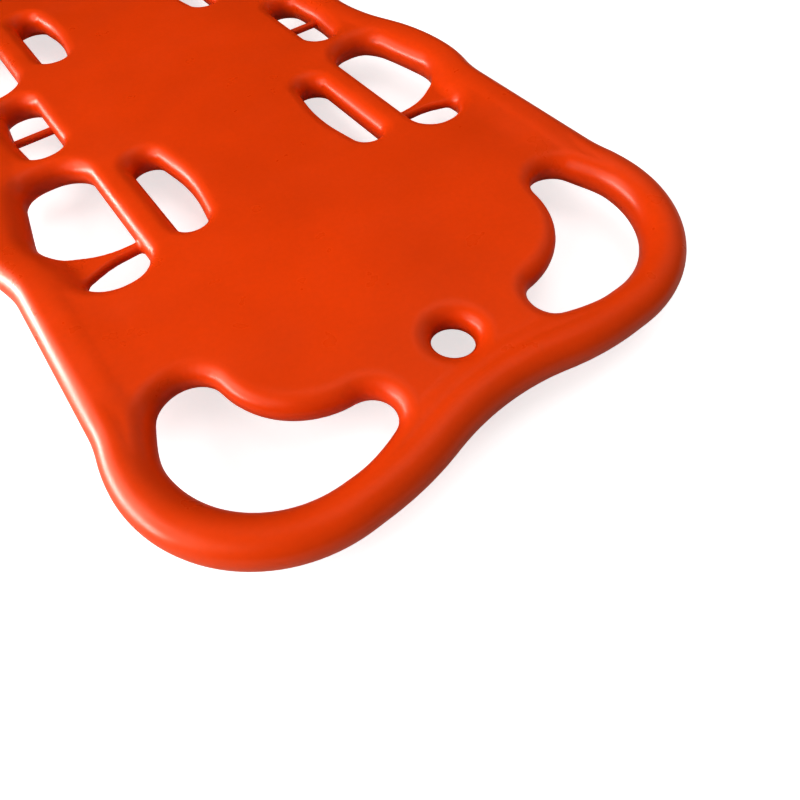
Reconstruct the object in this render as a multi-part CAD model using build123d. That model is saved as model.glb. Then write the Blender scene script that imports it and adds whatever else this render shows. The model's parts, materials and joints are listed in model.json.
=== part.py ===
from build123d import *
import os
from math import cos, radians, sin, sqrt

# Long spine board (backboard): two moulded skins welded at mid-height, with a hand rail all
# round, hand openings, strap slots and strap pins. Foam and two stiffening rods fill the inside.
# Millimetres. X across the board, Y along it, Z up. Origin: on the ground under the middle.

# ---- driving dimensions ----------------------------------------------------------------
LENGTH = 1840.0
HEIGHT = 50.0
PITCH = 300.0             # from one hand opening to the next, along the board
RAIL_R = 15.5             # hand rail, a round tube that runs all round the board
DECK_HALF = 12.5          # half the thickness of the deck between the rails
EDGE_R = 8.0              # rounding on the deck edge of every opening
WALL = 3.0                # moulded wall of both skins
BOND_GAP = 0.05           # glue line round the foam and the rods

HALF = LENGTH / 2
MID = HEIGHT - RAIL_R     # height of the parting line, where the two skins meet

# half-widths of the rail's centre line
LOOP_X = 206.0            # widest point of the corner loops
STRAIGHT_X = 202.0        # straight side between corner loop and first hand opening
BULGE_X = 210.0           # beside a hand opening
WAIST_X = 180.5           # beside a strap pin
END_DIP = 13.0            # how far the middle of each end is set back from the loops
LOBE_X = 102.0            # where each end reaches furthest out
LOOP_IN = 108.0           # from the outermost point of the end to the loop's widest point
STRAIGHT_IN = 150.0       # from the same point to where the straight side starts
STRAIGHT_END_Y = -642.0
END_BULGE_Y = -584.0      # widest point beside the first hand opening

HAND_YS = [-2 * PITCH, -PITCH, 0]          # the other half of the board mirrors these
END_OPENING_Y = HAND_YS[0] + 3              # middle of the opening that the web crosses
OUTER_PIN_Y = 446.0
INNER_PIN_Y = PITCH / 2
PIN_YS = [-OUTER_PIN_Y, -INNER_PIN_Y, INNER_PIN_Y, OUTER_PIN_Y]
QUARTER_PIN_YS = PIN_YS[:2]
SIDES = {"left": -1, "right": 1}

# strap pins: cross bars for hooks, held in sockets between the two skins
PIN_R = 3.0
PIN_GAP = 0.05            # all round, between pin and socket
PIN_HOLE_X = (126.0, 158.5)
PIN_IN = 8.0              # how far each pin end sits inside the board
SOCKET_WALL = 2.5

# stiffening rods, pultruded tubes with a cap on each end
ROD_X = 108.5
ROD_R = 6.5
ROD_BORE_R = 4.5
ROD_HALF = 815.0
CAP_T = 3.0
CAP_SPIGOT = 12.0         # length of the spigot inside the rod

# runners under the deck, which lift the rails off the ground for the fingers
RUNNER_X = 38.0
RUNNER_W = 36.0
RUNNER_END_Y = 780.0
RUNNER_EDGE_R = 8.0

END_HOLE_R = 14.7
END_HOLE_IN = 68.0        # from the outermost point of the end to the hole's centre

WEB_HALF = 4.0            # half the thickness of the web across each end hand opening

# plugs in the deck's underside, between the runners
FILL_R, FILL_HEAD_R = 12.0, 15.0
VENT_R, VENT_HEAD_R = 6.0, 8.0
VENT_Y = 520.0
PLUG_SHANK = 6.0
PLUG_HEAD_T = 1.6

TINY = 0.01


# ---- flat outlines ---------------------------------------------------------------------
def from_end(x, inward):
    """A point given by its distance in from the -Y end of the board."""
    return Vector(x, inward - HALF)


def s_step(start, finish, along):
    """Two equal arcs from start to finish, tangent to the direction `along` at both ends."""
    middle = (start + finish) * 0.5
    heading = along if (finish - start).dot(along) > 0 else -along
    return [TangentArc(start, middle, tangent=heading), TangentArc(finish, middle, tangent=-heading)]


def rail_quarter():
    """Centre line of the rail, from the middle of the -Y end to the middle of the +X side."""
    across, lengthwise = Vector(1, 0), Vector(0, 1)
    lobe = from_end(LOBE_X, RAIL_R)
    corner_start = from_end(LOOP_X - (LOOP_IN - RAIL_R), RAIL_R)
    loop = from_end(LOOP_X, LOOP_IN)
    straight_start = from_end(STRAIGHT_X, STRAIGHT_IN)
    curve = s_step(from_end(0, RAIL_R + END_DIP), lobe, across)
    curve += [Line(lobe, corner_start), TangentArc(corner_start, loop, tangent=across)]
    curve += s_step(loop, straight_start, lengthwise)
    side = [(STRAIGHT_X, STRAIGHT_END_Y), (BULGE_X, END_BULGE_Y), (WAIST_X, -OUTER_PIN_Y),
            (BULGE_X, -PITCH), (WAIST_X, -INNER_PIN_Y), (BULGE_X, 0)]
    side = [Vector(*point) for point in side]
    curve += [Line(straight_start, side[0])]
    for start, finish in zip(side, side[1:]):
        curve += s_step(start, finish, lengthwise)
    return Curve() + curve


def all_quarters(shape):
    """The shape with its mirror images across the board, along it and both."""
    pair = [shape, mirror(shape, Plane.YZ)]
    return pair + [mirror(one, Plane.XZ) for one in pair]


RAIL_LINE = Wire(rail_quarter().edges())


def rounded(points):
    """Closed face on (x, y, corner radius) points."""
    outline = FilletPolyline(*[(x, y) for x, y, _ in points], radius=[r for _, _, r in points], close=True)
    return make_face(outline)


def end_hand_opening():
    """Outer hand opening on the +X side at the -Y end; a narrow web crosses its near third."""
    points = [(125, 82, 28), (176, 82, 21), (190.5, 8, 42), (174.5, -36, 24), (175, -75, 28), (125, -75, 20)]
    return Pos(0, END_OPENING_Y) * rounded(points)


def mid_hand_opening(y):
    points = [(125, 80, 28), (175, 80, 22), (190.5, 0, 90), (175, -80, 22), (125, -80, 28)]
    return Pos(0, y) * rounded(points)


def strap_slot(y):
    points = [(95, 54, 12), (73, 54, 11.5), (63.5, 0, 160), (73, -54, 11.5), (95, -54, 12)]
    return Pos(0, y) * rounded(points)


def pin_opening(y):
    near, far = PIN_HOLE_X
    points = [(near, 48, 14), (154, 48, 13), (far + 0.6, 0, 120), (154, -48, 13), (near, -48, 14)]
    return Pos(0, y) * rounded(points)


def circle_centre(centre_a, radius_a, centre_b, radius_b):
    """Where two circles cross, on the left of the way from a to b."""
    way = centre_b - centre_a
    gap = way.length
    along = (radius_a**2 - radius_b**2 + gap**2) / (2 * gap)
    off = sqrt(radius_a**2 - along**2)
    return centre_a + way * (along / gap) + Vector(-way.Y, way.X) * (off / gap)


def corner_opening():
    """Deck side of the kidney-shaped corner opening. The rail itself closes its outer side."""
    tip, tip_r = from_end(77.5, 54.5), 17.5
    top, top_r = from_end(161, 128), 22.5
    lobe_r = 68.0
    lobe = circle_centre(tip, tip_r + lobe_r, top, top_r + lobe_r)
    low_way = Vector(cos(radians(-24)), sin(radians(-24)))
    high_way = Vector(cos(radians(-63)), sin(radians(-63)))
    low = tip + Vector(low_way.Y, -low_way.X) * tip_r
    high = top + Vector(-high_way.Y, high_way.X) * top_r
    low_out, high_out = low + low_way * 75, high + high_way * 62
    tip_to_lobe = tip + (lobe - tip).normalized() * tip_r
    top_to_lobe = top + (lobe - top).normalized() * top_r
    tip_arc = TangentArc(low, tip_to_lobe, tangent=-low_way)
    lobe_arc = TangentArc(tip_to_lobe, top_to_lobe, tangent=tip_arc % 1)
    top_arc = TangentArc(top_to_lobe, high, tangent=lobe_arc % 1)
    outside = Polyline(high, high_out, high_out + Vector(60, 0), from_end(280, -60),
                       low_out + Vector(0, -60), low_out, low)
    return make_face(Curve() + [tip_arc, lobe_arc, top_arc, outside])


def web_outline():
    """Web across the end hand opening, narrow at the deck and wide at the rail."""
    points = [(118, -42), (150, -43), (184, -52), (194, -52), (194, -10), (183, -17), (150, -32), (118, -36)]
    return make_face(Polyline(*[(x, END_OPENING_Y + y) for x, y in points], close=True))


def quarter_openings():
    """Every opening in one quarter of the deck, as flat faces."""
    shapes = [corner_opening(), end_hand_opening()]
    shapes += [mid_hand_opening(y) for y in HAND_YS[1:]]
    shapes += [strap_slot(y) for y in HAND_YS]
    shapes += [pin_opening(y) for y in QUARTER_PIN_YS]
    shapes.append(Pos(0, END_HOLE_IN - HALF) * Circle(END_HOLE_R))
    return shapes


# ---- solids, with the parting line at height 0 -----------------------------------------
def deck(inset):
    """Quarter of the deck inside the rail's centre line, with rounded edges on its openings."""
    half = DECK_HALF - inset
    cut_lines = Polyline(RAIL_LINE @ 1, (0, 0), RAIL_LINE @ 0)
    blank = make_face(RAIL_LINE.edges() + cut_lines.edges())
    plate = blank
    for opening in quarter_openings():
        plate -= offset(opening, inset) if inset else opening
    outline = blank.wire()
    solid = extrude(plate, half, both=True)
    rims = []
    for edge in solid.edges():
        middle = edge @ 0.5
        level = abs(abs(middle.Z) - half) < TINY and abs((edge @ 0).Z - (edge @ 1).Z) < TINY
        if level and outline.distance_to(Vector(middle.X, middle.Y)) > TINY:
            rims.append(edge)
    return fillet(rims, EDGE_R - inset)


def rail(inset):
    return sweep(Plane(RAIL_LINE @ 0, z_dir=RAIL_LINE % 0) * Circle(RAIL_R - inset), path=RAIL_LINE)


def runner(inset):
    """Half of one runner, from the ground up into the deck."""
    half_width = RUNNER_W / 2 - inset
    straight = RUNNER_END_Y - RUNNER_W / 2
    plan = Pos(RUNNER_X, -straight / 2) * Rectangle(2 * half_width, straight)
    plan += Pos(RUNNER_X, -straight) * Circle(half_width)
    solid = Pos(0, 0, inset - MID) * extrude(plan, MID - inset - DECK_HALF / 2)
    foot = [e for e in solid.edges() if abs((e @ 0.5).Z - (inset - MID)) < TINY and abs((e @ 0.5).Y) > TINY]
    return fillet(foot, RUNNER_EDGE_R - inset)


def board(inset):
    """Quarter of the whole board, its surface set back by `inset`."""
    return deck(inset) + rail(inset) + runner(inset)


def web(grow=0.0):
    """Web across the end hand opening, at mid-height of the board."""
    outline = web_outline()
    return extrude(offset(outline, grow) if grow else outline, WEB_HALF + grow, both=True)


def socket_block(x, y, outwards, grow=0.0):
    """Solid block beside a pin opening that holds one end of a strap pin."""
    length = PIN_IN + SOCKET_WALL + WALL
    width = 2 * (PIN_R + SOCKET_WALL)
    block = Box(length + 2 * grow, width + 2 * grow, 2 * DECK_HALF - WALL)
    return Pos(x + outwards * (length / 2 - WALL), y) * block


def solid_filling(grow=0.0):
    """What is solid plastic inside the quarter board: the web's root and the pin sockets."""
    blocks = [web(grow)]
    for y in QUARTER_PIN_YS:
        blocks.append(socket_block(PIN_HOLE_X[0], y, -1, grow))
        blocks.append(socket_block(PIN_HOLE_X[1], y, 1, grow))
    return blocks


def quarter_skins():
    """Both moulded skins of the quarter board, still in one piece at the parting line."""
    hollow = board(WALL)
    for block in solid_filling():
        hollow -= block
    shell = board(0) + web() - hollow
    for y in QUARTER_PIN_YS:
        shell -= pin(y, PIN_GAP)
    return without_plugs(shell)


def quarter_foam():
    """Foam that fills the quarter board, with a bore for the stiffening rod."""
    bore_length = ROD_HALF + CAP_T + BOND_GAP
    bore = Rot(90, 0, 0) * Cylinder(ROD_R + BOND_GAP, bore_length)
    foam = board(WALL + BOND_GAP) - Pos(ROD_X, -bore_length / 2) * bore
    for block in solid_filling(BOND_GAP):
        foam -= block
    return without_plugs(foam)


def pin(y, gap=0.0):
    """Strap pin across the pin opening at y, or its socket where a gap is given."""
    length = PIN_HOLE_X[1] - PIN_HOLE_X[0] + 2 * PIN_IN + 2 * gap
    return Pos(sum(PIN_HOLE_X) / 2, y) * Rot(0, 90, 0) * Cylinder(PIN_R + gap, length)


def without_plugs(shape):
    """The quarter shape with room for the filling plug and the vent plug on its inner edge."""
    return shape - plug_room(0, FILL_R) - plug_room(-VENT_Y, VENT_R)


def plug_room(y, shank_r):
    return Pos(0, y) * plug_shank(shank_r, BOND_GAP)


def rod():
    return Rot(90, 0, 0) * (Cylinder(ROD_R, 2 * ROD_HALF) - Cylinder(ROD_BORE_R, 2 * ROD_HALF))


def rod_cap():
    """Cap for the -Y end of a rod: a disc with a spigot that plugs the bore."""
    disc = Pos(0, 0, -CAP_T / 2) * Cylinder(ROD_R, CAP_T)
    spigot = Pos(0, 0, CAP_SPIGOT / 2) * Cylinder(ROD_BORE_R, CAP_SPIGOT)
    return Pos(0, -ROD_HALF) * Rot(-90, 0, 0) * (disc + spigot)


def plug_shank(shank_r, gap=0.0):
    return Pos(0, 0, -DECK_HALF + PLUG_SHANK / 2) * Cylinder(shank_r + gap, PLUG_SHANK + 2 * gap)


def plug(y, shank_r, head_r):
    """Plug in the deck's underside: a shank through the skin and a thin round head."""
    head = Pos(0, 0, -DECK_HALF - PLUG_HEAD_T / 2) * Cylinder(head_r, PLUG_HEAD_T)
    return Pos(0, y) * (plug_shank(shank_r) + chamfer(head.edges().sort_by(Axis.Z)[0], PLUG_HEAD_T / 2))


def whole(quarter):
    """The full board part made from its quarter."""
    first, *rest = all_quarters(quarter)
    return first + rest


# ---- parts, written one file per node --------------------------------------------------
def write(name, solid):
    export_step(Pos(0, 0, MID) * solid, f"parts/{name}.step")


def write_shells_and_plugs():
    shell = quarter_skins()
    upper_skin = whole(split(shell, bisect_by=Plane.XY, keep=Keep.TOP))
    lower_skin = whole(split(shell, bisect_by=Plane.XY, keep=Keep.BOTTOM))
    write("upper_skin", upper_skin)
    write("lower_skin", lower_skin)
    write("foam_core", whole(quarter_foam()))
    write("foam_fill_plug", plug(0, FILL_R, FILL_HEAD_R))
    write("vent_plug_1", plug(-VENT_Y, VENT_R, VENT_HEAD_R))
    write("vent_plug_2", plug(VENT_Y, VENT_R, VENT_HEAD_R))


def write_rods_and_pins():
    for side, sign in SIDES.items():
        write(f"stiffening_rod_{side}", Pos(sign * ROD_X) * rod())
        caps = [rod_cap(), mirror(rod_cap(), Plane.XZ)]
        for number, cap in enumerate(caps, start=1):
            write(f"rod_cap_{side}_{number}", Pos(sign * ROD_X) * cap)
        for number, y in enumerate(PIN_YS, start=1):
            bar = pin(y) if sign > 0 else mirror(pin(y), Plane.YZ)
            write(f"strap_pin_{side}_{number}", bar)


os.makedirs("parts", exist_ok=True)
write_shells_and_plugs()
write_rods_and_pins()
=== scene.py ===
import json

import bpy
import numpy as np
from mathutils import Euler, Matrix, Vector
from mathutils.geometry import delaunay_2d_cdt

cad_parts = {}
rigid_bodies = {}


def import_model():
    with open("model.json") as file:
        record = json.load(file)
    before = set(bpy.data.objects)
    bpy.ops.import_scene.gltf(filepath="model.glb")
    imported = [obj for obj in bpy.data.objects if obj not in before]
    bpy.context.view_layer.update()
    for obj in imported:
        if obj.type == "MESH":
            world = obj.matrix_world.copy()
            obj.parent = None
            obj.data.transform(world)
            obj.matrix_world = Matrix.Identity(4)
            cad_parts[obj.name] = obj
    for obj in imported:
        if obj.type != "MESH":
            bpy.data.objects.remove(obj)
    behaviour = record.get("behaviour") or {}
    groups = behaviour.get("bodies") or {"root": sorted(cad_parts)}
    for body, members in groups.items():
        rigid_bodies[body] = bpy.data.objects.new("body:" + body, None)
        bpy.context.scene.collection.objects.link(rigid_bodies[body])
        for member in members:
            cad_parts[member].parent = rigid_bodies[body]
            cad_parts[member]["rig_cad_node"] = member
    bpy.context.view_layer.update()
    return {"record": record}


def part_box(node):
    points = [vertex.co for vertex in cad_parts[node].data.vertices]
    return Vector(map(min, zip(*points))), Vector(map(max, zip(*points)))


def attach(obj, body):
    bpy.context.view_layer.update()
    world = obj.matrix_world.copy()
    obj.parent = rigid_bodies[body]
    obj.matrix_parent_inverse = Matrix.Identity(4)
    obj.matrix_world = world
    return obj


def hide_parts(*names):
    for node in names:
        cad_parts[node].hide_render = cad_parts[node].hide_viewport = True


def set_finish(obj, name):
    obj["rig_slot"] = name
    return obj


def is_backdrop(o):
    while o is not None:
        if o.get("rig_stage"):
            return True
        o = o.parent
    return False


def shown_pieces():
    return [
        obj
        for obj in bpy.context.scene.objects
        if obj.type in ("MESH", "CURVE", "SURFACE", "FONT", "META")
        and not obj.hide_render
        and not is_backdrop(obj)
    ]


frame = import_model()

# The visible skins of a long spine board. Its surface is where a distance field is zero, meshed
# on a regular grid. Lengths are millimetres until a mesh is made. X is across the board and Y
# along it. Height 0 is the parting line between the skins, MID above the ground. One quarter,
# x >= 0 and y <= 0, is worked out and mirrored. Points in plan are complex numbers, x + y*1j.



def millimetres(metres):
    """A length or a place in the frame, in millimetres to the nearest tenth."""
    return round(metres * 1000, 1)


def middle(node):
    """Middle of a CAD node's box."""
    low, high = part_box(node)
    return [millimetres(v / 2) for v in low + high]


mounts = {mount["name"]: mount for mount in frame["record"]["mounts"]}
bar_low, bar_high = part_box("strap_pin_right_3")

_, INNER_PIN_Y, MID = middle("strap_pin_right_3")
OUTER_PIN_Y = middle("strap_pin_right_4")[1]
HALF_LENGTH = millimetres(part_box("upper_skin")[1].y)
PITCH = 300.0             # from one hand opening to the next
END_OPENING_Y = 3 - 2 * PITCH   # the end hand openings lie 3 mm in from the pitch
RAIL_R = 15.5
DECK_HALF = 12.5
EDGE_R = 12.4             # rounding of the deck where it meets an opening
WALL = 3.0
INNER_EDGE_R = 5.0        # rounding of the cavity's edges
INNER_RUNNER_EDGE_R = 5.0
GRID = 2.5                # mesh size of the outer surface
INNER_GRID = 5.0          # mesh size of the hidden inner surface
MAP_STEP = 1.25           # spacing of the plan distance maps
REACH_X, REACH_Y = 232.5, 927.5   # half width and half length of the maps and the mesh grid
SNAP_PASSES = 6           # moves of the mesh points on to the surface
LEAST_SLOPE = 0.05        # of a field, squared: keeps a move short where the field is flat

LOOP_X, STRAIGHT_X, BULGE_X, WAIST_X = 206.0, 202.0, 210.0, 180.5
LOBE_X, LOOP_IN, STRAIGHT_IN, END_DIP = 102.0, 108.0, 150.0, 13.0
STRAIGHT_END_Y, END_BULGE_Y = -642.0, -584.0
PIN_R = millimetres((bar_high.y - bar_low.y) / 2)
PIN_EDGE_R = 1.2
PIN_IN, CAD_PIN_IN = 2.0, 8.0   # how far into the walls the shown bar and the CAD bar reach
PIN_HOLE_X = (millimetres(bar_low.x) + CAD_PIN_IN, millimetres(bar_high.x) - CAD_PIN_IN)
RUNNER_X = millimetres(mounts["runners_foot"]["pos_m"][0])
RUNNER_HALF_WIDTH, RUNNER_END_Y, RUNNER_EDGE_R = 18.0, 780.0, 8.0
END_HOLE_R = mounts["end_hole_2"]["dims"]["r_mm"]
END_HOLE_IN = HALF_LENGTH - millimetres(mounts["end_hole_2"]["pos_m"][1])
WEB_HALF = 4.0
WEB_FLAT_HALF = 0.6       # half height of the flat strip round the web's rounded edge
VENT_Y = middle("vent_plug_2")[1]
FILL_R, VENT_R, PLUG_GAP = 12.0, 6.0, 0.05
PLUG_HOLE_TOP = 1.0       # the plug holes end this far below the parting line

LEAST_BLEND, RAIL_BLEND, RUNNER_BLEND = 1.0, 8.0, 8.0
WEB_BLENDS = (3.5, 9.0)   # at the web's deck end and its rail end
RISE_WIDTH = 42.0         # over which the deck rises to the rail's crown along both sides
RISE_ENDS = (735.0, 800.0)    # where that rise fades out towards the ends
FLUSH_CLEARANCE = 30.0    # the rise needs this much room to the nearest opening
RIDGE_BLEND = 6.0         # rounds the narrow ridges between neighbouring openings
ARC_STEPS = 14
BEYOND = 300.0            # well outside the quarter's outline
SHARP_ANGLE = 40          # degrees, edges of turned pieces sharper than this aren't smoothed
FLOOR_HALF = 9            # metres

ORANGE = (0.93, 0.098, 0.002)


# ---- plan outlines -----------------------------------------------------------------------
def arc(start, heading, finish, steps=ARC_STEPS):
    """Points of the circular arc that leaves `start` along `heading` and ends at `finish`."""
    chord = finish - start
    turn = np.angle(chord / heading)
    share = np.linspace(0, 1, steps + 1)
    if abs(turn) < 1e-6:
        return start + chord * share
    return start + chord * np.exp(1j * turn * (share - 1)) * np.sin(turn * share) / np.sin(turn)


def s_step(start, finish, axis):
    """Two equal arcs from start to finish, both tangent to `axis` at their outer ends."""
    middle = (start + finish) / 2
    heading = axis if ((finish - start) / axis).real > 0 else -axis
    return np.concatenate([arc(start, heading, middle), arc(finish, -heading, middle)[::-1]])


def from_end(x, inward):
    return x + 1j * (inward - HALF_LENGTH)


def rail_line():
    """Centre line of the rail from the middle of the -Y end to the middle of the +X side."""
    corner_start = from_end(LOOP_X - (LOOP_IN - RAIL_R), RAIL_R)
    loop = from_end(LOOP_X, LOOP_IN)
    side = [STRAIGHT_X + 1j * STRAIGHT_END_Y, BULGE_X + 1j * END_BULGE_Y, WAIST_X - 1j * OUTER_PIN_Y,
            BULGE_X - 1j * PITCH, WAIST_X - 1j * INNER_PIN_Y, BULGE_X + 0j]
    runs = [s_step(from_end(0, RAIL_R + END_DIP), from_end(LOBE_X, RAIL_R), 1)]
    runs.append(arc(corner_start, 1, loop, 3 * ARC_STEPS))
    runs.append(s_step(loop, from_end(STRAIGHT_X, STRAIGHT_IN), 1j))
    runs += [s_step(a, b, 1j) for a, b in zip(side, side[1:])]
    return np.concatenate(runs)


def rounded(corners):
    """Closed outline on (x, y, corner radius) corners."""
    points = [x + 1j * y for x, y, _ in corners]
    runs = []
    for i, (_, _, radius) in enumerate(corners):
        back = points[i - 1] - points[i]
        on = points[(i + 1) % len(points)] - points[i]
        back, on = back / abs(back), on / abs(on)
        reach = radius / np.tan(abs(np.angle(on / back)) / 2)
        runs.append(arc(points[i] + back * reach, -back, points[i] + on * reach))
    return np.concatenate(runs)


def end_hand_opening():
    corners = [(125, 82, 28), (176, 82, 21), (189.5, 8, 42)]
    corners += [(175.5, -36, 24), (175, -75, 28), (125, -75, 20)]
    return rounded(corners) + 1j * END_OPENING_Y


def mid_hand_opening(y):
    corners = [(125, 80, 28), (175, 80, 22), (189.5, 0, 90), (175, -80, 22), (125, -80, 28)]
    return rounded(corners) + 1j * y


def strap_slot(y):
    corners = [(95, 54, 12), (73, 54, 11.5), (63.5, 0, 160), (73, -54, 11.5), (95, -54, 12)]
    return rounded(corners) + 1j * y


def pin_opening(y):
    near, far = PIN_HOLE_X
    corners = [(near, 48, 14), (154, 48, 13), (far + 0.6, 0, 120), (154, -48, 13), (near, -48, 14)]
    return rounded(corners) + 1j * y


def crossing(centre_a, radius_a, centre_b, radius_b):
    """Where two circles cross, on the left of the way from a to b."""
    way = centre_b - centre_a
    gap = abs(way)
    along = (radius_a**2 - radius_b**2 + gap**2) / (2 * gap)
    return centre_a + way / gap * (along + 1j * np.sqrt(radius_a**2 - along**2))


def corner_opening():
    """Kidney-shaped corner opening. Its outer side lies under the rail, which closes it."""
    tip, tip_r = from_end(77.5, 54.5), 17.5
    top, top_r = from_end(161, 128), 22.5
    lobe_r = 68.0
    low_angle, high_angle = 24, 63          # degrees, of the two sides that run under the rail
    low_reach, high_reach = 75, 62          # how far those sides run straight on
    lobe = crossing(tip, tip_r + lobe_r, top, top_r + lobe_r)
    low_way = np.exp(-1j * np.radians(low_angle))
    high_way = np.exp(-1j * np.radians(high_angle))
    low, high = tip - 1j * low_way * tip_r, top + 1j * high_way * top_r
    tip_to_lobe = tip + (lobe - tip) / abs(lobe - tip) * tip_r
    top_to_lobe = top + (lobe - top) / abs(lobe - top) * top_r
    across = (tip_to_lobe - lobe) / lobe_r * 1j
    runs = [arc(low, -low_way, tip_to_lobe), arc(tip_to_lobe, across, top_to_lobe, 2 * ARC_STEPS)]
    across = (top_to_lobe - lobe) / lobe_r * 1j
    runs.append(arc(top_to_lobe, across, high))
    low_out, high_out = low + low_way * low_reach, high + high_way * high_reach
    runs.append([high_out, high_out + 60, from_end(280, -60), low_out - 60j, low_out])
    return np.concatenate(runs)


def web_outline():
    """Web across the end hand opening, narrow at the deck and wide at the rail."""
    corners = [(112, -42, 1), (150, -43, 60), (186, -56, 40), (200, -56, 1)]
    corners += [(200, -4, 1), (186, -12, 30), (150, -33, 60), (112, -36, 1)]
    return rounded(corners) + 1j * END_OPENING_Y


# ---- plan distance maps ------------------------------------------------------------------
class PlanMap:
    """Signed distance to an outline in plan, negative inside, on a fine grid over the quarter."""

    xs = np.arange(0, REACH_X + MAP_STEP / 2, MAP_STEP)
    ys = np.arange(-REACH_Y, MAP_STEP / 2, MAP_STEP)

    def __init__(self, values):
        self.values = values

    def __call__(self, x, y):
        """The map at any point of the board, by bilinear interpolation."""
        i = np.clip(np.abs(x) / MAP_STEP, 0, len(self.xs) - 1.001)
        j = np.clip((-np.abs(y) - self.ys[0]) / MAP_STEP, 0, len(self.ys) - 1.001)
        i0, j0 = i.astype(int), j.astype(int)
        u, v = i - i0, j - j0
        low = self.values[i0, j0] * (1 - v) + self.values[i0, j0 + 1] * v
        high = self.values[i0 + 1, j0] * (1 - v) + self.values[i0 + 1, j0 + 1] * v
        return low * (1 - u) + high * u


PLAN = PlanMap.xs[:, None] + 1j * PlanMap.ys[None, :]


def distance(points, line):
    """Distance from each plan point to an open line."""
    nearest = np.full(points.shape, np.inf)
    for a, b in zip(line, line[1:]):
        if a != b:
            share = np.clip(((points - a) / (b - a)).real, 0, 1)
            nearest = np.minimum(nearest, abs(points - a - share * (b - a)))
    return nearest


def inside(points, outline):
    """True for the plan points that a closed outline holds."""
    held = np.zeros(points.shape, bool)
    for a, b in zip(outline, np.roll(outline, -1)):
        if a.imag != b.imag:
            spans = (a.imag > points.imag) != (b.imag > points.imag)
            reach = a.real + (b.real - a.real) * (points.imag - a.imag) / (b.imag - a.imag)
            held ^= spans & (points.real < reach)
    return held


def signed_map(outline, margin=40.0):
    """Signed distance to a closed outline, right within `margin` of it and at least that beyond."""
    values = np.full(PLAN.shape, margin)
    rows = (PlanMap.xs > outline.real.min() - margin) & (PlanMap.xs < outline.real.max() + margin)
    columns = (PlanMap.ys > outline.imag.min() - margin) & (PlanMap.ys < outline.imag.max() + margin)
    window = np.ix_(rows, columns)
    points = PLAN[window]
    far = distance(points, np.append(outline, outline[0]))
    values[window] = np.where(inside(points, outline), -far, far)
    return values


def smooth_min(a, b, blend):
    """The smaller of two fields, with a fillet about `blend` wide where they meet."""
    near = np.maximum(blend - np.abs(a - b), 0) / blend
    return np.minimum(a, b) - near * near * blend / 4


def plan_maps():
    """Maps of the distance past the rail's centre line, out of the openings and past the web."""
    line = rail_line()
    round_about = [1j * BEYOND, -BEYOND + 1j * BEYOND, line[0] - BEYOND]
    within = inside(PLAN, np.concatenate([line, round_about]))
    rail = distance(PLAN, line)
    rail = np.where(within, -rail, rail)
    outlines = [corner_opening(), end_hand_opening(), mid_hand_opening(-PITCH), mid_hand_opening(0)]
    outlines += [strap_slot(y) for y in (-2 * PITCH, -PITCH, 0)]
    outlines += [pin_opening(y) for y in (-OUTER_PIN_Y, -INNER_PIN_Y)]
    openings = abs(PLAN - from_end(0, END_HOLE_IN)) - END_HOLE_R
    for outline in outlines:
        openings = smooth_min(openings, signed_map(outline), RIDGE_BLEND)
    return PlanMap(rail), PlanMap(openings), PlanMap(signed_map(web_outline()))


RAIL_MAP, OPENING_MAP, WEB_MAP = plan_maps()


# ---- solid distance fields, negative inside ----------------------------------------------
def slab(plan, lift, edge_r):
    """A plan outline given thickness: `plan` and `lift` are distances past its sides and face."""
    side, face = plan + edge_r, lift + edge_r
    corner = np.hypot(np.maximum(side, 0), np.maximum(face, 0))
    return corner + np.minimum(np.maximum(side, face), 0) - edge_r


def ease(share):
    """From 0 to 1 as `share` does, level at both ends."""
    share = np.clip(share, 0, 1)
    return share * share * (3 - 2 * share)


def board(x, y, z, inset, edge_r, runner_edge_r):
    """Rail, deck and runners, with the surface set back by `inset`. Where the sides have no
    opening, the deck's top rises to the rail's crown, so that they meet without a groove."""
    past_rail, off_opening = RAIL_MAP(x, y), OPENING_MAP(x, y)
    rail = np.hypot(past_rail, z) - (RAIL_R - inset)
    flush = ease(off_opening / FLUSH_CLEARANCE)
    flush = flush * (1 - ease((np.abs(y) - RISE_ENDS[0]) / (RISE_ENDS[1] - RISE_ENDS[0])))
    rise = (RAIL_R - DECK_HALF) * flush * ease(1 + past_rail / RISE_WIDTH) * ease(z / DECK_HALF)
    plan = np.maximum(past_rail - EDGE_R * flush, -off_opening)
    deck = slab(plan + inset, np.abs(z) - (DECK_HALF - inset) - rise, edge_r)
    past_end = np.maximum(np.abs(y) - (RUNNER_END_Y - RUNNER_HALF_WIDTH), 0)
    runner_plan = np.hypot(np.abs(x) - RUNNER_X, past_end) - (RUNNER_HALF_WIDTH - inset)
    runner = np.maximum(slab(runner_plan, -z - (MID - inset), runner_edge_r), z)
    blend = LEAST_BLEND + (RAIL_BLEND - LEAST_BLEND) * ease(-past_rail / RAIL_R)
    return smooth_min(smooth_min(rail, deck, blend), runner, RUNNER_BLEND)


def outer(x, y, z):
    """Outer surface of the board, without the holes for the plugs."""
    web = slab(WEB_MAP(x, y), np.abs(z) - WEB_HALF, WEB_HALF - WEB_FLAT_HALF)
    blend = np.interp(np.abs(x), (PIN_HOLE_X[0], WAIST_X), WEB_BLENDS)
    return smooth_min(board(x, y, z, 0, EDGE_R, RUNNER_EDGE_R), web, blend)


def plug_holes(x, y, z):
    """The fill hole and the vent holes, negative outside them."""
    fill = FILL_R + PLUG_GAP - np.hypot(x, y)
    vent = VENT_R + PLUG_GAP - np.hypot(x, np.abs(y) - VENT_Y)
    return np.minimum(np.maximum(fill, vent), -z - PLUG_HOLE_TOP)


def cavity(x, y, z):
    """Inner surface of the skins."""
    return board(x, y, z, WALL, INNER_EDGE_R, INNER_RUNNER_EDGE_R)


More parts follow.
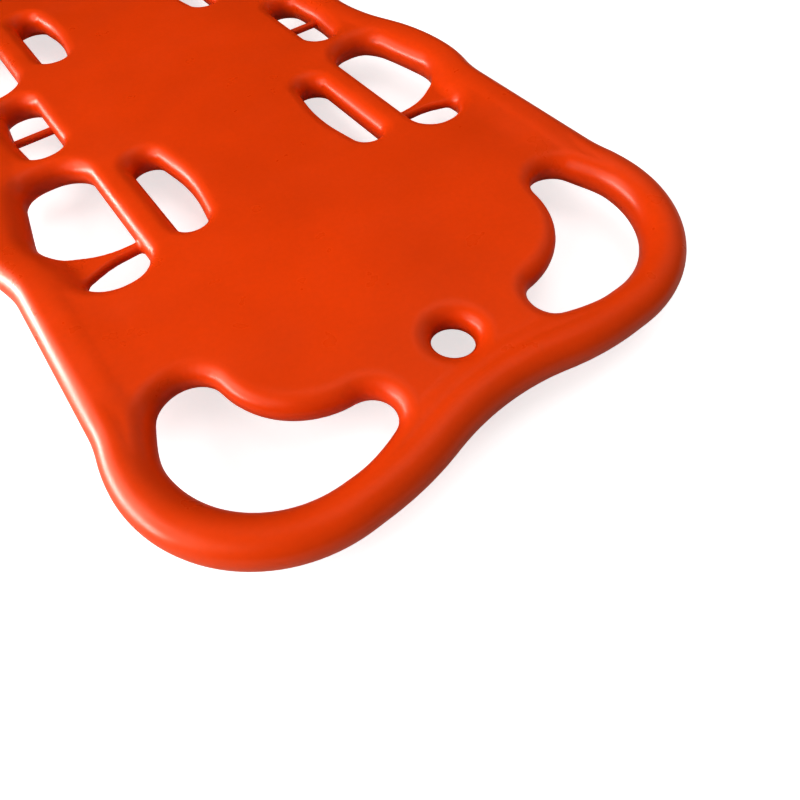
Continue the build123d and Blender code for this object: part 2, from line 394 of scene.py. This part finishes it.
# ---- meshing -----------------------------------------------------------------------------
def gradient(field, points, step=0.6):
    """Gradient of a field at (n, 3) points."""
    columns = []
    for axis in range(3):
        shift = np.zeros(3)
        shift[axis] = MAP_STEP if axis < 2 else step
        ahead, behind = points + shift, points - shift
        columns.append((field(*ahead.T) - field(*behind.T)) / (2 * shift[axis]))
    return np.stack(columns, axis=1)


def mirrored(array, axis, shared):
    """The array joined to its mirror image before it (axis 0) or after it (axis 1)."""
    image = np.flip(array, axis)
    if axis == 0:
        return np.concatenate([image[:-1] if shared else image, array], 0)
    return np.concatenate([array, image[:, 1:] if shared else image], 1)


def slices(shape, axis, low):
    """Index of the low or high neighbours along an axis."""
    window = [slice(None)] * 3
    window[axis] = slice(0, shape[axis] - 1) if low else slice(1, shape[axis])
    return tuple(window)


def net(fields, grid, floor, ceiling):
    """Surface where the largest of the fields is zero, as (points, quads, field of each quad).

    One point per grid cell that the surface crosses, moved on to the surfaces of the fields
    that meet in that cell. The cells at height 0 have their points exactly at height 0."""
    xs = np.arange(0, REACH_X + grid / 2, grid)
    ys = -np.arange(0, REACH_Y + grid / 2, grid)[::-1]
    low, high = int(np.floor(floor / grid)) - 1, int(np.ceil(ceiling / grid)) + 1
    zs = (np.arange(low, high) + 0.5) * grid
    nodes = (xs[:, None, None], ys[None, :, None], zs[None, None, :])
    shape = (len(xs), len(ys), len(zs))
    values = np.stack([np.broadcast_to(f(*nodes), shape) for f in fields])
    top = values.max(0)
    solid = top < 0

    cells = tuple(n - 1 for n in shape)
    total, count = np.zeros(cells + (3,)), np.zeros(cells)
    active = np.zeros(cells + (len(fields),), bool)
    edge_fields = []
    axes = (xs, ys, zs)
    for axis in range(3):
        before, after = slices(shape, axis, True), slices(shape, axis, False)
        crossed = solid[before] != solid[after]
        where = np.argwhere(crossed)
        a, b = top[before][crossed], top[after][crossed]
        share = a / (a - b)
        point = np.stack([axes[k][where[:, k]] for k in range(3)], 1)
        point[:, axis] += share * grid
        blend = [v[before][crossed] * (1 - share) + v[after][crossed] * share for v in values]
        winner = np.argmax(blend, 0)
        field_map = np.full(crossed.shape, -1, np.int8)
        field_map[crossed] = winner
        edge_fields.append(field_map)
        others = [k for k in range(3) if k != axis]
        for du in (0, 1):
            for dw in (0, 1):
                cell = where.copy()
                cell[:, others[0]] -= du
                cell[:, others[1]] -= dw
                real = ((cell >= 0) & (cell < cells)).all(1)
                index = tuple(cell[real].T)
                np.add.at(total, index, point[real])
                np.add.at(count, index, 1)
                active[index + (winner[real],)] = True

    used = count > 0
    points = total[used] / count[used][:, None]
    members = active[used]
    flat = np.argwhere(used)[:, 2] == -low - 1
    points[flat, 2] = 0
    for _ in range(SNAP_PASSES):
        for number, field in enumerate(fields):
            chosen = members[:, number]
            place = points[chosen]
            slope = gradient(field, place)
            slope[flat[chosen], 2] = 0
            squared = np.maximum((slope**2).sum(1), LEAST_SLOPE)[:, None]
            step = field(*place.T)[:, None] * slope / squared
            length = np.linalg.norm(step, axis=1)[:, None]
            points[chosen] = place - step * np.minimum(1, grid / np.maximum(length, 1e-9))
    points = np.concatenate([points * (sx, sy, 1) for sy in (1, -1) for sx in (1, -1)])

    quarter = np.full(cells, -1)
    quarter[used] = np.arange(used.sum())
    number = used.sum()
    left = np.where(np.flip(quarter, 0) < 0, -1, np.flip(quarter, 0) + number)
    half = np.concatenate([left, quarter], 0)
    back = np.where(np.flip(half, 1) < 0, -1, np.flip(half, 1) + 2 * number)
    ids = np.concatenate([half, back], 1)
    solid = mirrored(mirrored(solid, 0, True), 1, True)
    quads, owners = [], []
    for axis in range(3):
        field_map = mirrored(mirrored(edge_fields[axis], 0, axis != 0), 1, axis != 1)
        where = np.argwhere(field_map >= 0)
        u, w = (axis + 1) % 3, (axis + 2) % 3
        keep = (where[:, u] > 0) & (where[:, w] > 0)
        keep &= (where[:, u] < ids.shape[u]) & (where[:, w] < ids.shape[w])
        where = where[keep]
        corners = []
        for du, dw in ((1, 1), (0, 1), (0, 0), (1, 0)):
            cell = where.copy()
            cell[:, u] -= du
            cell[:, w] -= dw
            corners.append(ids[tuple(cell.T)])
        quad = np.stack(corners, 1)
        outward = solid[tuple(where.T)]
        quads.append(np.where(outward[:, None], quad, quad[:, ::-1]))
        owners.append(field_map[tuple(where.T)])
    return points, np.concatenate(quads), np.concatenate(owners)


# ---- pieces ------------------------------------------------------------------------------
def unit(vectors):
    return vectors / np.maximum(np.linalg.norm(vectors, axis=1), 1e-12)[:, None]


def ring_faces(points, rims, holds):
    """Triangles in the parting plane between closed rims, where `holds` is true."""
    used = np.unique(rims)
    lookup = np.full(len(points), -1)
    lookup[used] = np.arange(len(used))
    flat = [Vector(points[i, :2]) for i in used]
    edges = lookup[rims].tolist()
    _, _, faces, originals, _, _ = delaunay_2d_cdt(flat, edges, [], 0, 1e-7)
    named = np.array([used[o[0]] if o else -1 for o in originals])
    triangles = named[np.array(faces)]
    centres = points[triangles].mean(1)
    return triangles[holds(centres[:, 0], centres[:, 1])]


def rim_edges(points, quads):
    """Edges of the quads that lie in the parting plane."""
    pairs = np.concatenate([quads[:, [i, (i + 1) % 4]] for i in range(4)])
    level = (points[pairs][:, :, 2] == 0).all(1)
    return np.unique(np.sort(pairs[level], axis=1), axis=0)


def piece(name, points, faces, normals, slot, node):
    """A mesh piece in the row frame that stands for a CAD node. Points are millimetres.

    `faces` is a list of arrays with a face's corners in each row, and `normals` is a list of
    arrays with a corner's normal in each row, or None."""
    mesh = bpy.data.meshes.new(name)
    place = points / 1000 + (0, 0, MID / 1000)
    used, back = np.unique(np.concatenate([f.ravel() for f in faces]), return_inverse=True)
    loops = np.concatenate([f.ravel() for f in faces])
    sizes = np.concatenate([np.full(len(f), f.shape[1]) for f in faces])
    mesh.vertices.add(len(used))
    mesh.vertices.foreach_set("co", place[used].astype(np.float32).ravel())
    mesh.loops.add(len(loops))
    mesh.loops.foreach_set("vertex_index", back.astype(np.int32).ravel())
    mesh.polygons.add(len(sizes))
    mesh.polygons.foreach_set("loop_start", (np.cumsum(sizes) - sizes).astype(np.int32))
    mesh.update(calc_edges=True)
    mesh.validate()
    mesh.shade_smooth()
    if normals is not None:
        mesh.normals_split_custom_set(np.concatenate(normals).tolist())
    obj = bpy.data.objects.new(name, mesh)
    bpy.context.scene.collection.objects.link(obj)
    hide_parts(node)
    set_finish(obj, slot)
    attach(obj, "root")
    return obj


def skins():
    """Upper and lower skin, hollow shells that meet in the parting plane. Their meshes aren't
    quite closed: a few edges stay open."""
    fields = [outer, plug_holes]
    out, out_quads, owners = net(fields, GRID, -MID, RAIL_R)
    slopes = [unit(gradient(f, out)) for f in fields]
    core, core_quads, _ = net([cavity], INNER_GRID, -MID, RAIL_R)
    core_slope = -unit(gradient(cavity, core))
    points = np.concatenate([out, core])
    core_quads = core_quads[:, ::-1] + len(out)
    rims = np.concatenate([rim_edges(points, out_quads), rim_edges(points, core_quads)])

    def solid(x, y):
        return np.maximum(outer(x, y, 0 * x), -cavity(x, y, 0 * x)) < 0

    seam = ring_faces(points, rims, solid)
    out_side = np.sign(points[out_quads][:, :, 2].mean(1))
    core_side = np.sign(points[core_quads][:, :, 2].mean(1))
    for name, side in (("upper_skin", 1), ("lower_skin", -1)):
        mine = out_side == side
        quads, core_mine = out_quads[mine], core_quads[core_side == side]
        loop_owner = np.repeat(owners[mine], 4)
        picked = np.stack(slopes)[loop_owner, quads.ravel()]
        core_normals = core_slope[core_mine.ravel() - len(out)]
        triangles = seam if side < 0 else seam[:, ::-1]
        flat = np.tile((0.0, 0.0, -float(side)), (triangles.size, 1))
        faces, normals = [quads, core_mine, triangles], [picked, core_normals, flat]
        piece(name + "_moulding", points, faces, normals, "orange_skin", name)


def turned(name, node, profile, origin, axis, slot, segments=48):
    """A piece turned about an axis through `origin` (mm), on (along the axis, radius) points."""
    axis = Vector(axis).normalized()
    side = axis.orthogonal().normalized()
    third = axis.cross(side)
    turns = np.arange(segments) * 2 * np.pi / segments
    rows = [np.array([[a] * segments, r * np.cos(turns), r * np.sin(turns)]).T for a, r in profile]
    local = np.concatenate(rows)
    points = np.array(origin) + local @ np.array([axis, side, third])
    steps = np.arange(segments)
    after = (steps + 1) % segments
    quads = [np.stack([steps, after, after + segments, steps + segments], 1) + i * segments
             for i in range(len(profile) - 1)]
    caps = [steps[None, ::-1], steps[None, :] + segments * (len(profile) - 1)]
    obj = piece(name, points, [np.concatenate(quads), caps[0], caps[1]], None, slot, node)
    obj.data.set_sharp_from_angle(angle=np.radians(SHARP_ANGLE))


def rounded_end(along, radius, edge, into, steps=5):
    """Profile points of a bar's rounded end; `into` is +1 at its start and -1 at its end."""
    turns = np.linspace(0, np.pi / 2, steps)
    points = [(along + into * edge * (1 - np.sin(t)), radius - edge * (1 - np.cos(t))) for t in turns]
    return points[::-1] if into > 0 else points


def strap_pins():
    """The eight bars, each across the opening between two hand openings."""
    for side, sign in (("left", -1), ("right", 1)):
        for number, y in enumerate((-OUTER_PIN_Y, -INNER_PIN_Y, INNER_PIN_Y, OUTER_PIN_Y), start=1):
            half = (PIN_HOLE_X[1] - PIN_HOLE_X[0]) / 2 + PIN_IN
            profile = rounded_end(-half, PIN_R, PIN_EDGE_R, 1)
            profile += rounded_end(half, PIN_R, PIN_EDGE_R, -1)
            node = f"strap_pin_{side}_{number}"
            centre = (sign * sum(PIN_HOLE_X) / 2, y, 0)
            turned(node + "_bar", node, profile, centre, (1, 0, 0), "orange_pin")


# ---- materials ---------------------------------------------------------------------------
class Nodes:
    """Short way to write a material's nodes."""

    def __init__(self, name):
        self.material = bpy.data.materials.new(name)
        self.material.use_nodes = True
        self.tree = self.material.node_tree
        self.shader = self.tree.nodes["Principled BSDF"]
        self.place = self.tree.nodes.new("ShaderNodeTexCoord").outputs["Object"]

    def add(self, kind, inputs=(), **settings):
        node = self.tree.nodes.new("ShaderNode" + kind)
        for key, value in settings.items():
            setattr(node, key, value)
        for key, value in dict(inputs).items():
            self.feed(node.inputs[key], value)
        return node

    def feed(self, socket, value):
        if hasattr(value, "is_linked"):
            self.tree.links.new(value, socket)
        else:
            socket.default_value = value

    def stretch(self, scale):
        return self.add("Mapping", {"Vector": self.place, "Scale": scale}).outputs["Vector"]

    def noise(self, scale, detail=3.0, place=None):
        inputs = {"Vector": place or self.place, "Scale": scale, "Detail": detail}
        return self.add("TexNoise", inputs).outputs["Fac"]

    def range(self, value, low, high, to_low=0.0, to_high=1.0):
        inputs = {"Value": value, "From Min": low, "From Max": high, "To Min": to_low, "To Max": to_high}
        return self.add("MapRange", inputs).outputs["Result"]

    def mix(self, share, a, b):
        node = self.add("Mix", {"Factor": share}, data_type="RGBA")
        for socket, value in ((node.inputs[6], a), (node.inputs[7], b)):
            self.feed(socket, value)
        return node.outputs[2]

    def maths(self, operation, a, b):
        node = self.add("Math", operation=operation)
        self.feed(node.inputs[0], a)
        self.feed(node.inputs[1], b)
        return node.outputs[0]

    def bump(self, height, strength, depth, below=None):
        inputs = {"Height": height, "Strength": strength, "Distance": depth}
        if below is not None:
            inputs["Normal"] = below
        return self.add("Bump", inputs).outputs["Normal"]

    def finish(self, **inputs):
        for key, value in inputs.items():
            self.feed(self.shader.inputs[key.replace("_", " ")], value)
        return self.material


def shade(colour, amount):
    return tuple(min(c * amount, 1.0) for c in colour) + (1.0,)


def moulded_plastic(name, colour, roughness):
    """Moulded polyethylene: faint mottling, pigment grain, an orange-peel surface and patches
    that handling has dulled."""
    n = Nodes(name)
    mottle = n.range(n.noise(9.0, 4.0), 0.35, 0.65)
    base = n.mix(mottle, shade(colour, 0.95), shade(colour, 1.05))
    pigment = n.range(n.noise(260.0, 3.0), 0.3, 0.7)
    base = n.mix(n.maths("MULTIPLY", pigment, 0.12), base, shade(colour, 0.8))
    rough = n.range(n.noise(55.0, 3.0), 0.3, 0.7, roughness - 0.03, roughness + 0.03)
    dulled = n.range(n.noise(16.0, 2.0), 0.45, 0.7)
    rough = n.maths("ADD", rough, n.maths("MULTIPLY", dulled, 0.06))
    normal = n.bump(n.noise(18.0, 1.0), 0.25, 0.0012)
    normal = n.bump(n.noise(420.0, 2.0), 0.08, 0.0003, normal)
    return n.finish(Base_Color=base, Roughness=rough, Normal=normal, IOR=1.5)


def foam_material(colour):
    n = Nodes("rigid_foam")
    cells = n.add("TexVoronoi", {"Vector": n.place, "Scale": 900.0}).outputs["Distance"]
    base = n.mix(n.range(n.noise(30.0), 0.3, 0.7), shade(colour, 0.9), shade(colour, 1.05))
    base = n.mix(n.range(cells, 0.0, 0.5), shade(colour, 0.7), base)
    return n.finish(Base_Color=base, Roughness=0.9, Normal=n.bump(cells, 0.6, 0.0006))


def glass_fibre_material(colour):
    n = Nodes("pultruded_glass_fibre")
    strands = n.noise(1.0, 3.0, n.stretch((1500.0, 12.0, 1500.0)))
    base = n.mix(n.range(strands, 0.3, 0.7), shade(colour, 0.75), shade(colour, 1.15))
    return n.finish(Base_Color=base, Roughness=0.42, Normal=n.bump(strands, 0.3, 0.0002))


def paint(materials):
    """Gives every shown piece the material of its slot in the record."""
    slots = {s["node"]: s["material_slot"] for s in frame["record"]["subparts"]}
    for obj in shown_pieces():
        slot = obj.get("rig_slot") or slots[obj["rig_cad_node"]]
        obj.data.materials.clear()
        obj.data.materials.append(materials[slot])


# ---- stage, light and camera -------------------------------------------------------------
def floor():
    mesh = bpy.data.meshes.new("floor")
    corners = [(FLOOR_HALF * x, FLOOR_HALF * y, 0) for x, y in ((-1, -1), (1, -1), (1, 1), (-1, 1))]
    mesh.from_pydata(corners, [], [(0, 1, 2, 3)])
    obj = bpy.data.objects.new("floor", mesh)
    bpy.context.scene.collection.objects.link(obj)
    n = Nodes("pale_floor")
    tone = n.mix(n.range(n.noise(3.0), 0.3, 0.7), (0.58, 0.58, 0.58, 1), (0.6, 0.6, 0.6, 1))
    seen = n.maths("MULTIPLY", n.add("LightPath").outputs["Is Camera Ray"], 0.75)
    glow = {"Emission_Color": (1, 1, 1, 1), "Emission_Strength": seen}
    mesh.materials.append(n.finish(Base_Color=tone, Roughness=0.8, Specular_IOR_Level=0.1, **glow))
    obj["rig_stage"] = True


def area_light(name, place, target, size, power, diffuse=True, glossy=True):
    data = bpy.data.lights.new(name, "AREA")
    data.shape, data.size, data.size_y = "RECTANGLE", size[0], size[1]
    data.energy = power
    obj = bpy.data.objects.new(name, data)
    obj.location = place
    obj.rotation_euler = (Vector(target) - Vector(place)).to_track_quat("-Z", "Y").to_euler()
    obj.visible_diffuse, obj.visible_glossy = diffuse, glossy
    bpy.context.scene.collection.objects.link(obj)


def world():
    """Even, soft surroundings: white where the camera sees them, not mirrored by the polish."""
    studio = bpy.data.worlds.new("studio")
    studio.use_nodes = True
    tree = studio.node_tree
    path = tree.nodes.new("ShaderNodeLightPath")
    strength = tree.nodes.new("ShaderNodeMapRange")
    strength.inputs["To Min"].default_value = 0.2
    tree.links.new(path.outputs["Is Camera Ray"], strength.inputs["Value"])
    tree.links.new(strength.outputs["Result"], tree.nodes["Background"].inputs["Strength"])
    tree.nodes["Background"].inputs["Color"].default_value = (1, 1, 1, 1)
    studio.cycles_visibility.glossy = False
    bpy.context.scene.world = studio


def lights():
    """Soft fills light the board from all round, mostly from the left. Only two lights on the
    left show in the polish: a low strip for the highlights along the rails, and a faint box."""
    area_light("gloss_strip", (-1.7, 0.3, 0.3), (-0.2, -0.7, 0.05), (2.3, 0.5), 62, diffuse=False)
    area_light("gloss_soft", (-1.5, 0.3, 1.25), (0, -0.6, 0.05), (1.6, 0.8), 10, diffuse=False)
    area_light("fill_left", (-1.6, -0.5, 0.9), (0, -0.6, 0.1), (1.8, 1.3), 34, glossy=False)
    area_light("fill_right", (1.9, -0.6, 0.9), (0, -0.6, 0), (1.4, 1.6), 7, glossy=False)
    area_light("fill_top", (0.6, -0.4, 2.4), (0, -0.5, 0), (1.8, 1.8), 19, glossy=False)
    settings = bpy.context.scene.view_settings
    settings.view_transform, settings.gamma = "Standard", 0.75


def camera():
    data = bpy.data.cameras.new("camera")
    data.sensor_width, data.lens = 36.0, 24.4
    data.clip_start = 0.02
    obj = bpy.data.objects.new("camera", data)
    obj.location = (-0.151, -1.0035, 0.324)
    obj.rotation_euler = Euler(np.radians((30.33, 1.69, -37.81)))
    bpy.context.scene.collection.objects.link(obj)
    bpy.context.scene.camera = obj


skins()
strap_pins()
colours = {m["slot"]: m["base_color"] for m in frame["record"]["materials"]}
paint({
    "orange_skin": moulded_plastic("orange_polyethylene", ORANGE, 0.30),
    "orange_pin": moulded_plastic("orange_nylon", shade(ORANGE, 0.9)[:3], 0.38),
    "plug": moulded_plastic("plug_polyethylene", shade(ORANGE, 0.8)[:3], 0.5),
    "cap": moulded_plastic("black_polyethylene", colours["cap"], 0.5),
    "foam": foam_material(colours["foam"]),
    "rod": glass_fibre_material(colours["rod"]),
})
floor()
world()
lights()
camera()
